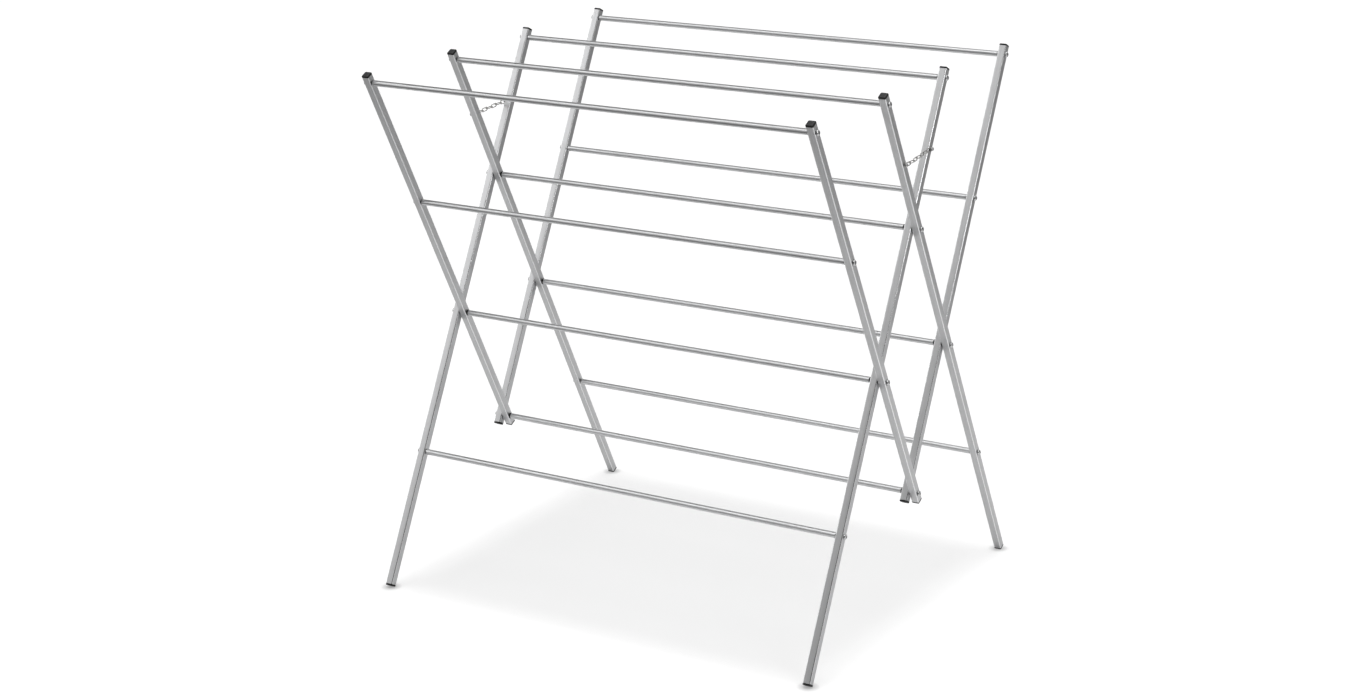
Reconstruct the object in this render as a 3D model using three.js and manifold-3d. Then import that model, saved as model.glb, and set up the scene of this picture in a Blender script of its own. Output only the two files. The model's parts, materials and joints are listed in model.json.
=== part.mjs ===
// Folding clothes drying rack: four ladder frames of square tube joined by four scissor pivots.
// Units are millimetres. X runs along the rungs, Y from front to rear, Z up.
// The origin is on the floor, under the middle of the opened rack.
//
// Seen from the end, the rung holes lie on a lattice of columns and rows:
//
//   column  -3   -2   -1    0    1    2    3
//   row 0    o         o         o         o     top rungs
//   row 1         o         P         o          P = upper pivot
//   row 2              P         P               front pivot and rear pivot
//   row 3         o         P         o          P = lower pivot
//
// A frame crosses one column for each row that it goes down.

import * as THREE from "three";
import { mergeVertices } from "three/addons/utils/BufferGeometryUtils.js";
import Module from "manifold-3d";

const wasm = await Module();
wasm.setup();

// ---------------------------------------------------------------- driving dimensions

// Whole rack
const rackWidth = 820; // over the outer faces of the outermost legs
const openHalfAngle = THREE.MathUtils.degToRad(27.2); // lean of each leg when the chains are taut
const rungPitch = 243.5; // from one rung to the next along a leg

// Legs
const tubeSize = 12.7;
const tubeWall = 1.2;
const tubeCorner = 1.6;
const topReach = 13.5; // highest rung hole to the upper end of the tube
const wingReach = 15; // lowest rung hole to the lower end of a wing frame's tube
const footReach = 227.5; // lowest rung hole to the lower end of a foot frame's tube

// Rungs and the screws in their tapped ends
const rungDiameter = 9.5;
const rungChamfer = 0.5;
const screwShank = 5;
const screwHead = 9.5;
const screwHeadHeight = 3.2;
const screwHeadRim = 0.8; // height of the head's upright edge
const screwHeadShoulder = 8.4; // diameter where the crown starts to flatten
const screwHeadShoulderHeight = 2.2;
const screwHeadFlat = 4.8; // diameter of the flat on the crown
const screwClearance = 0.3; // radial, in every hole that a rung screw passes

// Pivot washers
const washerDiameter = 12;
const washerThickness = 1;

// End caps
const capFlange = 2;
const capCrown = 1.3;
const capShoulderRise = 0.8; // how far up the crown its rounded shoulder ends
const capShoulderInset = 0.65;
const capTopInset = 2.6; // from the flange's edge to the flat on the crown
const capSpigot = 8;
const capSpigotWall = 1.4;
const capSpigotCorner = 0.4;
const capLead = 0.8; // chamfer that guides the spigot into the tube
const capFit = 0.3; // between spigot and tube, all round

// Stay chains
const chainReach = 128; // upper pivot to a chain screw along a leg
const linkCount = 7;
const linksOnOuterLeg = 4; // the rest hang from the inner leg
const linkWidth = 7.2;
const linkWire = 1.6;
const linkFusion = 0.6; // how far neighbours of one half are sunk into each other
const chainScrewShank = 3;
const chainScrewHead = 6.5;
const chainScrewHeadHeight = 1.8;
const chainScrewHeadRim = 0.6;
const chainScrewHeadFlat = 3.9;
const chainScrewLength = 6; // from the leg's face into the leg
const chainScrewClearance = 0.3;
const chainPlay = 0.8; // on each side of an end link, between the leg and the screw's head

// Between faces that touch on the real rack
const seatGap = 0.3;

// Fineness of curved faces
const cornerDivisions = 1; // three.js puts twice this many faces on each corner's arc
const rungSegments = 12;
const holeSegments = 8;
const washerSegments = 10;
const screwSegments = 10;
const linkArcSteps = 4;
const linkSides = 5;

// ---------------------------------------------------------------- worked-out places

const legGap = washerThickness + 2 * seatGap;
const outerFace = rackWidth / 2; // outer face of an outer leg
const outerLegX = outerFace - tubeSize / 2;
const innerLegX = outerLegX - tubeSize - legGap;
const columnStep = rungPitch * Math.sin(openHalfAngle);
const rowStep = rungPitch * Math.cos(openHalfAngle);
const lastRow = 3;

// lean 1: top towards the front, right leg outside. lean -1: top towards the rear, left leg outside.
const frames = [
  { name: "front_wing", topColumn: -3, lean: 1, reach: wingReach, lowEnd: "bottom", chained: false },
  { name: "rear_foot", topColumn: -1, lean: 1, reach: footReach, lowEnd: "foot", chained: true },
  { name: "front_foot", topColumn: 1, lean: -1, reach: footReach, lowEnd: "foot", chained: true },
  { name: "rear_wing", topColumn: 3, lean: -1, reach: wingReach, lowEnd: "bottom", chained: false },
];

const plainRungs = [
  { name: "front_wing_top_rung", frame: "front_wing", row: 0 },
  { name: "front_wing_middle_rung", frame: "front_wing", row: 1 },
  { name: "rear_foot_top_rung", frame: "rear_foot", row: 0 },
  { name: "rear_foot_low_rung", frame: "rear_foot", row: 3 },
  { name: "front_foot_top_rung", frame: "front_foot", row: 0 },
  { name: "front_foot_low_rung", frame: "front_foot", row: 3 },
  { name: "rear_wing_top_rung", frame: "rear_wing", row: 0 },
  { name: "rear_wing_middle_rung", frame: "rear_wing", row: 1 },
];

const pivots = [
  { name: "upper_pivot", column: 0, row: 1 },
  { name: "front_pivot", column: -1, row: 2 },
  { name: "rear_pivot", column: 1, row: 2 },
  { name: "lower_pivot", column: 0, row: 3 },
];

function columnOf(frame, row) {
  return frame.topColumn + frame.lean * row;
}

// Height is counted from the top row, until the finished rack is stood on the floor.
function latticePoint(column, row) {
  return new THREE.Vector3(0, column * columnStep, -row * rowStep);
}

// ---------------------------------------------------------------- materials

const materials = {
  tube: new THREE.MeshStandardMaterial({ color: 0xb4b5b7, roughness: 0.38, metalness: 1 }),
  rung: new THREE.MeshStandardMaterial({ color: 0xc3c4c6, roughness: 0.3, metalness: 1 }),
  plastic: new THREE.MeshStandardMaterial({ color: 0x1b1b1c, roughness: 0.5, metalness: 0 }),
  chain: new THREE.MeshStandardMaterial({ color: 0x9c9c98, roughness: 0.25, metalness: 1 }),
};

// ---------------------------------------------------------------- solid helpers

function solidOf(geometry) {
  const bare = new THREE.BufferGeometry();
  bare.setAttribute("position", geometry.getAttribute("position"));
  bare.setIndex(geometry.index);
  const merged = mergeVertices(bare, 1e-3);
  return new wasm.Manifold(
    new wasm.Mesh({
      numProp: 3,
      vertProperties: merged.getAttribute("position").array,
      triVerts: new Uint32Array(merged.index.array),
    }),
  );
}

function geometryOf(solid) {
  const mesh = solid.getMesh();
  const geometry = new THREE.BufferGeometry();
  geometry.setAttribute("position", new THREE.BufferAttribute(mesh.vertProperties, 3));
  geometry.setIndex(new THREE.BufferAttribute(mesh.triVerts, 1));
  geometry.computeVertexNormals();
  return geometry;
}

function namedMesh(name, geometry, material) {
  const mesh = new THREE.Mesh(geometry, material);
  mesh.name = name;
  return mesh;
}

function roundedSquare(size, corner, PathType = THREE.Shape) {
  const middle = size / 2 - corner;
  const path = new PathType();
  path.absarc(middle, middle, corner, 0, Math.PI / 2);
  path.absarc(-middle, middle, corner, Math.PI / 2, Math.PI);
  path.absarc(-middle, -middle, corner, Math.PI, 1.5 * Math.PI);
  path.absarc(middle, -middle, corner, 1.5 * Math.PI, 2 * Math.PI);
  path.closePath();
  return path;
}

// A closed skin through rounded squares, one for each corner of a profile that starts on the Z axis,
// runs round the outside and comes back to the axis.
function loftedSquares(sections) {
  const rings = sections.map(({ z, size, corner }) =>
    roundedSquare(size, corner)
      .getPoints(cornerDivisions)
      .slice(0, -1)
      .map((p) => [p.x, p.y, z]),
  );
  const count = rings[0].length;
  const lastRing = rings.length - 1;
  const positions = rings.flat(2);
  const index = [];
  for (let ring = 0; ring < lastRing; ring += 1) {
    for (let i = 0; i < count; i += 1) {
      const next = (i + 1) % count;
      const a = ring * count + i;
      const b = ring * count + next;
      index.push(a, b, b + count, a, b + count, a + count);
    }
  }
  for (let i = 1; i < count - 1; i += 1) {
    index.push(0, i + 1, i);
    index.push(lastRing * count, lastRing * count + i, lastRing * count + i + 1);
  }
  const geometry = new THREE.BufferGeometry();
  geometry.setAttribute("position", new THREE.Float32BufferAttribute(positions, 3));
  geometry.setIndex(index);
  return geometry;
}

// A profile of [radius, place along X] pairs, turned about the X axis.
function turnedAlongX(profile, segments) {
  const points = profile.map(([radius, x]) => new THREE.Vector2(radius, x));
  const geometry = new THREE.LatheGeometry(points, segments);
  geometry.rotateZ(-Math.PI / 2);
  return geometry;
}

// The solid that a drill of this length removes when its middle is at x and z.
function drillAlongX(radius, length, x, z) {
  const drill = new THREE.CylinderGeometry(radius, radius, length, holeSegments);
  drill.rotateZ(Math.PI / 2);
  drill.translate(x, 0, z);
  return solidOf(drill);
}

// ---------------------------------------------------------------- legs and caps

// The tube runs along Z with its highest rung hole at the origin.
// chainSide is 1 or -1 for a chain screw hole in the wall on that side, or 0 for none.
function legGeometry(reach, chainSide) {
  const length = topReach + lastRow * rungPitch + reach;
  const section = roundedSquare(tubeSize, tubeCorner);
  section.holes.push(roundedSquare(tubeSize - 2 * tubeWall, tubeCorner - tubeWall, THREE.Path));
  const tube = new THREE.ExtrudeGeometry(section, {
    depth: length,
    bevelEnabled: false,
    curveSegments: cornerDivisions,
  });
  tube.translate(0, 0, topReach - length);

  let leg = solidOf(tube);
  for (let row = 0; row <= lastRow; row += 1) {
    const hole = drillAlongX(screwShank / 2 + screwClearance, 2 * tubeSize, 0, -row * rungPitch);
    leg = leg.subtract(hole);
  }
  if (chainSide !== 0) {
    const radius = chainScrewShank / 2 + chainScrewClearance;
    const place = chainSide * (tubeSize / 2);
    leg = leg.subtract(drillAlongX(radius, tubeSize, place, chainReach - rungPitch));
  }
  return geometryOf(leg);
}

// A push-in plug with a crowned flange of the tube's outline. Its Z axis points out of the tube.
function capGeometry() {
  const spigotSize = tubeSize - 2 * tubeWall - 2 * capFit;
  const pocketSize = spigotSize - 2 * capSpigotWall;
  const flangeTop = seatGap + capFlange;
  const cap = loftedSquares([
    { z: seatGap, size: pocketSize, corner: capSpigotCorner },
    { z: -capSpigot, size: pocketSize, corner: capSpigotCorner },
    { z: -capSpigot, size: spigotSize - 2 * capLead, corner: capSpigotCorner },
    { z: -capSpigot + capLead, size: spigotSize, corner: capSpigotCorner },
    { z: seatGap, size: spigotSize, corner: capSpigotCorner },
    { z: seatGap, size: tubeSize, corner: tubeCorner },
    { z: flangeTop, size: tubeSize, corner: tubeCorner },
    { z: flangeTop + capShoulderRise, size: tubeSize - 2 * capShoulderInset, corner: tubeCorner },
    { z: flangeTop + capCrown, size: tubeSize - 2 * capTopInset, corner: tubeCorner },
  ]);
  return geometryOf(solidOf(cap));
}

function cappedLeg(frame, side, geometry) {
  const isOuter = side === frame.lean;
  const name = `${frame.name}_leg_${side > 0 ? "right" : "left"}`;
  const length = lastRow * rungPitch + frame.reach;
  const leg = new THREE.Group();
  leg.position.x = side * (isOuter ? outerLegX : innerLegX);

  const topCap = namedMesh(`${name}_top_cap`, capGeometry(), materials.plastic);
  topCap.position.z = topReach;
  const lowCap = namedMesh(`${name}_${frame.lowEnd}_cap`, capGeometry(), materials.plastic);
  lowCap.position.z = -length;
  lowCap.rotation.x = Math.PI;

  leg.add(namedMesh(name, geometry, materials.tube), topCap, lowCap);
  return leg;
}

function makeFrame(frame) {
  const group = new THREE.Group();
  group.position.copy(latticePoint(frame.topColumn, 0));
  group.rotation.x = frame.lean * openHalfAngle;
  for (const side of [1, -1]) {
    const chainSide = frame.chained ? side : 0;
    group.add(cappedLeg(frame, side, legGeometry(frame.reach, chainSide)));
  }
  return group;
}

// ---------------------------------------------------------------- rungs and washers

// Half of the outline of a rung with its screw: from the head's crown to the rung's full radius.
// seat is where the head's underside bears and end is where the rung's end face is.
function rungEndProfile(seat, end) {
  return [
    [0, seat + screwHeadHeight],
    [screwHeadFlat / 2, seat + screwHeadHeight],
    [screwHeadShoulder / 2, seat + screwHeadShoulderHeight],
    [screwHead / 2, seat + screwHeadRim],
    [screwHead / 2, seat],
    [screwShank / 2, seat],
    [screwShank / 2, end],
    [rungDiameter / 2 - rungChamfer, end],
    [rungDiameter / 2, end - rungChamfer],
  ];
}

// left and right each hold the seat and end distances from the rack's middle plane.
function rungGeometry(left, right) {
  const leftHalf = rungEndProfile(left.seat, left.end).map(([radius, x]) => [radius, -x]);
  const rightHalf = rungEndProfile(right.seat, right.end).reverse();
  return geometryOf(solidOf(turnedAlongX([...leftHalf, ...rightHalf], rungSegments)));
}

const outerSide = { seat: outerLegX + tubeSize / 2 + seatGap, end: outerLegX - tubeSize / 2 - seatGap };
const innerSide = { seat: innerLegX + tubeSize / 2 + seatGap, end: innerLegX - tubeSize / 2 - seatGap };
const pivotSide = { seat: outerSide.seat, end: innerSide.end - washerThickness - seatGap };

function makePlainRung({ name, frame: frameName, row }) {
  const frame = frames.find((f) => f.name === frameName);
  const rightOuter = frame.lean > 0;
  const geometry = rungGeometry(rightOuter ? innerSide : outerSide, rightOuter ? outerSide : innerSide);
  const rung = namedMesh(name, geometry, materials.rung);
  rung.position.copy(latticePoint(columnOf(frame, row), row));
  return rung;
}

function washerGeometry() {
  const bore = screwShank / 2 + screwClearance;
  const rim = washerDiameter / 2;
  const half = washerThickness / 2;
  const section = [
    [bore, -half],
    [rim, -half],
    [rim, half],
    [bore, half],
    [bore, -half],
  ];
  return geometryOf(solidOf(turnedAlongX(section, washerSegments)));
}

// A pivot: one rung screwed through both frames, with a washer between each pair of legs
// and one between each inner leg and the rung's end.
function makePivot({ name, column, row }) {
  const group = new THREE.Group();
  group.position.copy(latticePoint(column, row));
  group.add(namedMesh(`${name}_rung`, rungGeometry(pivotSide, pivotSide), materials.rung));
  const betweenLegs = (outerLegX + innerLegX) / 2;
  const atRungEnd = innerSide.end - washerThickness / 2;
  for (const [sideName, side] of [["right", 1], ["left", -1]]) {
    const legWasher = namedMesh(`${name}_leg_washer_${sideName}`, washerGeometry(), materials.plastic);
    legWasher.position.x = side * betweenLegs;
    const rungWasher = namedMesh(`${name}_rung_washer_${sideName}`, washerGeometry(), materials.plastic);
    rungWasher.position.x = side * atRungEnd;
    group.add(legWasher, rungWasher);
  }
  return group;
}

// ---------------------------------------------------------------- stay chains

// The chain lies flat on each leg for one link, then slants from the outer leg's face to the inner's.
const chainSpanY = 2 * chainReach * Math.sin(openHalfAngle);
const chainSpanX = tubeSize + legGap;
const slantLinks = linkCount - 2;

// The links' inside length that makes the chain just taut between its screws, from
// (slantLinks * length + surplus)^2 = chainSpanX^2 + (outside - 2 * length)^2.
function tautLinkLength() {
  const endPlay = chainScrewShank / 2 + chainScrewClearance;
  const outside = chainSpanY + 2 * endPlay;
  const surplus = slantLinks * linkFusion - seatGap;
  const a = slantLinks ** 2 - 4;
  const b = 2 * slantLinks * surplus + 4 * outside;
  const c = surplus ** 2 - outside ** 2 - chainSpanX ** 2;
  return (-b + Math.sqrt(b ** 2 - 4 * a * c)) / (2 * a);
}

const linkInside = tautLinkLength();

// A welded oval link round the origin, its length along Y and its flat faces square to X.
function linkGeometry() {
  const bend = (linkWidth - linkWire) / 2;
  const halfStraight = linkInside / 2 - (linkWidth / 2 - linkWire);
  const positions = [];
  const index = [];
  const steps = 2 * (linkArcSteps + 1);
  for (let step = 0; step < steps; step += 1) {
    const end = step <= linkArcSteps ? 1 : -1;
    const turn = ((step % (linkArcSteps + 1)) / linkArcSteps) * Math.PI;
    const angle = end > 0 ? turn - Math.PI / 2 : turn + Math.PI / 2;
    for (let side = 0; side < linkSides; side += 1) {
      const around = (side / linkSides) * 2 * Math.PI;
      const radius = bend + (linkWire / 2) * Math.cos(around);
      const x = (linkWire / 2) * Math.sin(around);
      positions.push(x, end * halfStraight + radius * Math.cos(angle), radius * Math.sin(angle));
      const nextSide = (side + 1) % linkSides;
      const nextStep = (step + 1) % steps;
      const a = step * linkSides + side;
      const b = step * linkSides + nextSide;
      const c = nextStep * linkSides + nextSide;
      const d = nextStep * linkSides + side;
      index.push(a, c, b, a, d, c);
    }
  }
  const geometry = new THREE.BufferGeometry();
  geometry.setAttribute("position", new THREE.Float32BufferAttribute(positions, 3));
  geometry.setIndex(index);
  return geometry;
}

// Where each link's middle is and how it lies, counted from the screw on the outer leg.
function linkPlaces() {
  const endPlay = chainScrewShank / 2 + chainScrewClearance;
  const flatRun = linkInside - endPlay;
  const slope = Math.atan2(chainSpanX, chainSpanY - 2 * flatRun);
  const slantRun = (chainSpanY - 2 * flatRun) / Math.cos(slope);
  const places = [];
  let start = -endPlay;
  for (let number = 1; number <= linkCount; number += 1) {
    const middle = start + linkInside / 2;
    const slanted = THREE.MathUtils.clamp(middle - flatRun, 0, slantRun);
    const flat = middle - slanted;
    const isSlanted = number > 1 && number < linkCount;
    places.push({
      x: -slanted * Math.sin(slope),
      y: flat + slanted * Math.cos(slope),
      yaw: isSlanted ? slope : 0,
      roll: number % 2 === 0 ? Math.PI / 2 : 0,
    });
    start += number === linksOnOuterLeg ? linkInside - seatGap : linkInside + linkFusion;
  }
  return places;
}

function halfChainGeometry(places) {
  const links = places.map(({ x, y, yaw, roll }) => {
    const link = linkGeometry();
    link.rotateY(roll);
    link.rotateZ(yaw);
    link.translate(x, y, 0);
    return solidOf(link);
  });
  return geometryOf(links.reduce((chain, link) => chain.add(link)));
}

// A pan head screw whose head bears on the link at the origin and whose shank points along -X.
function chainScrewGeometry() {
  const head = chainScrewHead / 2;
  const bearing = linkWire / 2 + chainPlay;
  const tip = -bearing - chainScrewLength;
  const profile = [
    [0, tip],
    [chainScrewShank / 2, tip + chainScrewShank / 2],
    [chainScrewShank / 2, bearing],
    [head, bearing],
    [head, bearing + chainScrewHeadRim],
    [chainScrewHeadFlat / 2, bearing + chainScrewHeadHeight],
    [0, bearing + chainScrewHeadHeight],
  ];
  return geometryOf(solidOf(turnedAlongX(profile, screwSegments)));
}

// The chain at one end of the rack. It is drawn for the right end, where the outer leg leans to the
// front; turned half round about Z it fits the left end, where the outer leg leans to the rear.
function makeStayChain(end) {
  const isRight = end === "right";
  const outerName = isRight ? "front" : "rear";
  const innerName = isRight ? "rear" : "front";
  const places = linkPlaces();
  const outerHalf = halfChainGeometry(places.slice(0, linksOnOuterLeg));
  const innerHalf = halfChainGeometry(places.slice(linksOnOuterLeg));

  const group = new THREE.Group();
  const height = latticePoint(0, 1).z + chainReach * Math.cos(openHalfAngle);
  group.position.set(outerFace + chainPlay + linkWire / 2, -chainSpanY / 2, height);

  const innerScrew = namedMesh(`${end}_chain_${innerName}_screw`, chainScrewGeometry(), materials.chain);
  innerScrew.position.set(-chainSpanX, chainSpanY, 0);
  group.add(
    namedMesh(`${end}_chain_${outerName}_half`, outerHalf, materials.chain),
    namedMesh(`${end}_chain_${innerName}_half`, innerHalf, materials.chain),
    namedMesh(`${end}_chain_${outerName}_screw`, chainScrewGeometry(), materials.chain),
    innerScrew,
  );

  const turned = new THREE.Group();
  turned.rotation.z = isRight ? 0 : Math.PI;
  turned.add(group);
  return turned;
}

// ---------------------------------------------------------------- the rack

function makeRack() {
  const rack = new THREE.Group();
  rack.add(...frames.map(makeFrame));
  rack.add(...plainRungs.map(makePlainRung));
  rack.add(...pivots.map(makePivot));
  rack.add(makeStayChain("right"), makeStayChain("left"));
  const lowest = new THREE.Box3().setFromObject(rack, true).min.z;
  rack.position.z = -lowest;
  return rack;
}

const dryingRack = new THREE.Group();
dryingRack.add(makeRack());

export default dryingRack;
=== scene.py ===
import json
import math
import random

import bmesh
import bpy
from bpy.props import FloatProperty, FloatVectorProperty, IntProperty, PointerProperty
from mathutils import Matrix, Vector


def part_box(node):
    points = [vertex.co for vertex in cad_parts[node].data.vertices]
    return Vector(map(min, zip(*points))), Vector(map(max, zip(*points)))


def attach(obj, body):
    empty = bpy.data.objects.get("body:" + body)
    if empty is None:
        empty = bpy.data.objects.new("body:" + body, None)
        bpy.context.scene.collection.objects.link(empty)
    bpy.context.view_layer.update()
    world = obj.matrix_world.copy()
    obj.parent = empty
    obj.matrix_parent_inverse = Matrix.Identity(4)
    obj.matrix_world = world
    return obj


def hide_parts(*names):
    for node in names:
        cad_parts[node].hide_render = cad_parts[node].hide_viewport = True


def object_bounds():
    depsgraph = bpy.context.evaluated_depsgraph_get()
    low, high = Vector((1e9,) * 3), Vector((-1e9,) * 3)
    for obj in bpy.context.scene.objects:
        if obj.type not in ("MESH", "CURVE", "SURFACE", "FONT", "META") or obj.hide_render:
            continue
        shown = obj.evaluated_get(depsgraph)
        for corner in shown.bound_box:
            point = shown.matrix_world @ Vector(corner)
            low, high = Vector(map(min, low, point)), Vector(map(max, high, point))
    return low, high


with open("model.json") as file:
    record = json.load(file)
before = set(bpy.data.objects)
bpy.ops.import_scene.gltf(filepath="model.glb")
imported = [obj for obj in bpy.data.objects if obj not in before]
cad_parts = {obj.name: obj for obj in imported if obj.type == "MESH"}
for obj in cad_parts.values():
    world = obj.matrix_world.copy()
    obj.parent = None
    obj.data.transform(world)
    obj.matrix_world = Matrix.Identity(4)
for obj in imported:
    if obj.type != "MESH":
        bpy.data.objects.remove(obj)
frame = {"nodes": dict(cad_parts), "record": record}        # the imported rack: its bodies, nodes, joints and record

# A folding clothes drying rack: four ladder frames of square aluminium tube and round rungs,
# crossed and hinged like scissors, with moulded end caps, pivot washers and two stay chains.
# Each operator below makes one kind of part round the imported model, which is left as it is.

bl_info = {
    "name": "Drying rack",
    "version": (1, 0, 0),
    "blender": (4, 5, 0),
    "location": "3D View > Sidebar > Rack",
    "description": "Builds a folding clothes drying rack round its packed model",
    "category": "Object",
}

CAD_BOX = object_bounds()

BODY_OF = {
    node: body
    for body, nodes in frame["record"]["behaviour"]["bodies"].items()
    for node in nodes
}


def nodes_ending(*endings):
    """The nodes whose names end in one of these ways, in order."""
    return sorted(node for node in BODY_OF if node.endswith(endings))


LEGS = nodes_ending("_leg_right", "_leg_left")
CAPS = nodes_ending("_cap")
RUNGS = nodes_ending("_rung")
WASHERS = nodes_ending("_washer_right", "_washer_left")
CHAIN_SCREWS = nodes_ending("_screw")
CHAIN_HALVES = nodes_ending("_half")
LEANS_FORWARD = ("front_wing", "rear_foot")

MM = 0.001
RIGHTWARD = Vector((1, 0, 0))
UNTURNED = (0, 0, 0)
SHANK_OVERLAP = 0.3 * MM  # how far a screw's shank reaches into its head

# Wide soft patches of the studio's sky: azimuth from the front towards the right, elevation, angular
# radius, and how much each adds to the even light in its middle.
SKY_PATCHES = (
    (24, 25.7, 51, -1.99),  # the dark room behind the camera
    (300, 26.8, 13.6, 3.5),  # a soft box low on the left
    (330, 60, 25, 1.8),  # a soft box over the front
    (0, 90, 25, 2.8),  # a soft box straight overhead
    (251, 48, 36, -1.02),  # the dark corner high on the left
    (120, 16, 31, -0.88),  # the dark wall on the far right
    (192, 8, 30, 0.35),  # the paler wall behind
)

# The side soft box stands off the rack's upper right side, in this direction and at this distance.
SIDE_LIGHT_AZIMUTH = 62
SIDE_LIGHT_ELEVATION = 22
SIDE_LIGHT_DISTANCE = 1.2

# The camera's place in metres, and in degrees the direction of its back and its roll.
CAMERA_PLACE = (2.0632, -3.3624, 1.6085)
CAMERA_AZIMUTH = 31.788
CAMERA_ELEVATION = 15.622
CAMERA_ROLL = -0.903
LENS_SHIFT = -0.0497
SENSOR_WIDTH = 36
VIEW_DEPTH = 100


# -------- places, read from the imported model


def middle(node):
    """The centre of a node's box."""
    low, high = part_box(node)
    return (low + high) / 2


def extent(node, direction):
    """The least and the most that a node reaches along a direction."""
    reach = [vertex.co.dot(direction) for vertex in frame["nodes"][node].data.vertices]
    return min(reach), max(reach)


def widest(node):
    """How wide a round part is, of which a box side may meet a flat facet."""
    low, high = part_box(node)
    return max(high.y - low.y, high.z - low.z)


UPPER_PIVOT = middle("upper_pivot_rung")
FRONT_PIVOT = middle("front_pivot_rung")
LEAN = math.atan2(UPPER_PIVOT.y - FRONT_PIVOT.y, UPPER_PIVOT.z - FRONT_PIVOT.z)
TUBE_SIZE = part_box(LEGS[0])[1].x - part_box(LEGS[0])[0].x
RUNG_SIZE = widest("upper_pivot_rung")
WASHER_SIZE = widest(WASHERS[0])
WASHER_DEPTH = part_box(WASHERS[0])[1].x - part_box(WASHERS[0])[0].x
CHAIN_SCREW_HEAD = widest(CHAIN_SCREWS[0])


def leg_axes(node):
    """The directions across and up a leg, or across and up the leg that a cap closes."""
    forward = 1 if node.startswith(LEANS_FORWARD) else -1
    across = Vector((0, math.cos(LEAN), forward * math.sin(LEAN)))
    up = Vector((0, -forward * math.sin(LEAN), math.cos(LEAN)))
    return across, up


def axes_place(node, across, up, along):
    """The place of a part that is centred on a node, with its foot at a distance along the leg."""
    sides = extent(node, across)
    turn = Matrix((RIGHTWARD, across, up)).transposed().to_4x4()
    foot = RIGHTWARD * middle(node).x + across * (sum(sides) / 2) + up * along
    return Matrix.Translation(foot) @ turn


# -------- sizes and colours that a user may change


def size_property(name, description, default):
    """A length, in metres."""
    return FloatProperty(name=name, description=description, default=default, unit="LENGTH")


def colour_property(name, description, default):
    """A colour."""
    return FloatVectorProperty(
        name=name, description=description, default=default, subtype="COLOR", min=0, max=1
    )


def amount_property(name, description, default, **more):
    """A brightness, a share or another number from nought up."""
    return FloatProperty(name=name, description=description, default=default, min=0, **more)


class RackTubeSettings(bpy.types.PropertyGroup):
    """The square tube of the legs."""

    size: size_property("Tube size", "Width of the square tube", TUBE_SIZE)
    wall: size_property("Wall", "Thickness of the tube's wall", 1.2 * MM)
    corner: size_property("Corner radius", "Radius of the tube's corners", 1.6 * MM)
    hole: size_property("Screw hole", "Diameter of the rung screws' holes", 5.6 * MM)
    small_hole: size_property("Chain screw hole", "Diameter of the chain screws' holes", 3.6 * MM)
    colour: colour_property("Tube colour", "Colour of the satin aluminium", (0.60, 0.603, 0.61))


class RackRungSettings(bpy.types.PropertyGroup):
    """The round rungs and the screws that hold them."""

    size: size_property("Rung diameter", "Diameter of a rung", RUNG_SIZE)
    end_round: size_property("End rounding", "Rounding of a rung's end", 1.4 * MM)
    seat_gap: size_property("Seat gap", "Gap between a rung's end and what it seats on", 0.3 * MM)
    head: size_property("Screw head", "Diameter of a screw's head", 9.5 * MM)
    head_height: size_property("Head height", "Height of a screw's head", 3.2 * MM)
    rim: size_property("Head rim", "Height of the head's straight rim", 0.8 * MM)
    shank: size_property("Shank", "Diameter of a screw's shank", 5 * MM)
    colour: colour_property("Rung colour", "Colour of the drawn aluminium", (0.68, 0.683, 0.69))
    screw_colour: colour_property(
        "Screw colour", "Colour of the bright plated screws", (0.64, 0.645, 0.65)
    )


class RackCapSettings(bpy.types.PropertyGroup):
    """The moulded caps in the ends of the legs."""

    flange: size_property("Flange", "Height of the cap's straight side", 2 * MM)
    crown: size_property("Crown", "Rise of the crown over the flange", 1.3 * MM)
    shoulder: size_property("Shoulder", "Radius of the crown's shoulder", 1.1 * MM)
    dome: size_property("Dome", "Rise of the crown above its shoulder", 0.47 * MM)
    edge: size_property("Edge rounding", "Rounding of the flange's edge", 0.15 * MM)
    spigot: size_property("Spigot", "Length of the spigot in the tube", 8 * MM)
    spigot_wall: size_property("Spigot wall", "Thickness of the spigot's wall", 1.4 * MM)
    fit: size_property("Fit", "Gap between the spigot and the tube", 0.3 * MM)
    colour: colour_property("Cap colour", "Colour of the moulded plastic", (0.012, 0.012, 0.0125))


class RackWasherSettings(bpy.types.PropertyGroup):
    """The washers at the four pivots."""

    size: size_property("Washer diameter", "Diameter of a washer", WASHER_SIZE)
    depth: size_property("Thickness", "Thickness of a washer", WASHER_DEPTH)
    hole: size_property("Hole", "Diameter of a washer's hole", 5.6 * MM)
    edge: size_property("Edge rounding", "Rounding of a washer's edges", 0.18 * MM)
    colour: colour_property("Washer colour", "Colour of the washers' plastic", (0.02, 0.02, 0.021))


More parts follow.
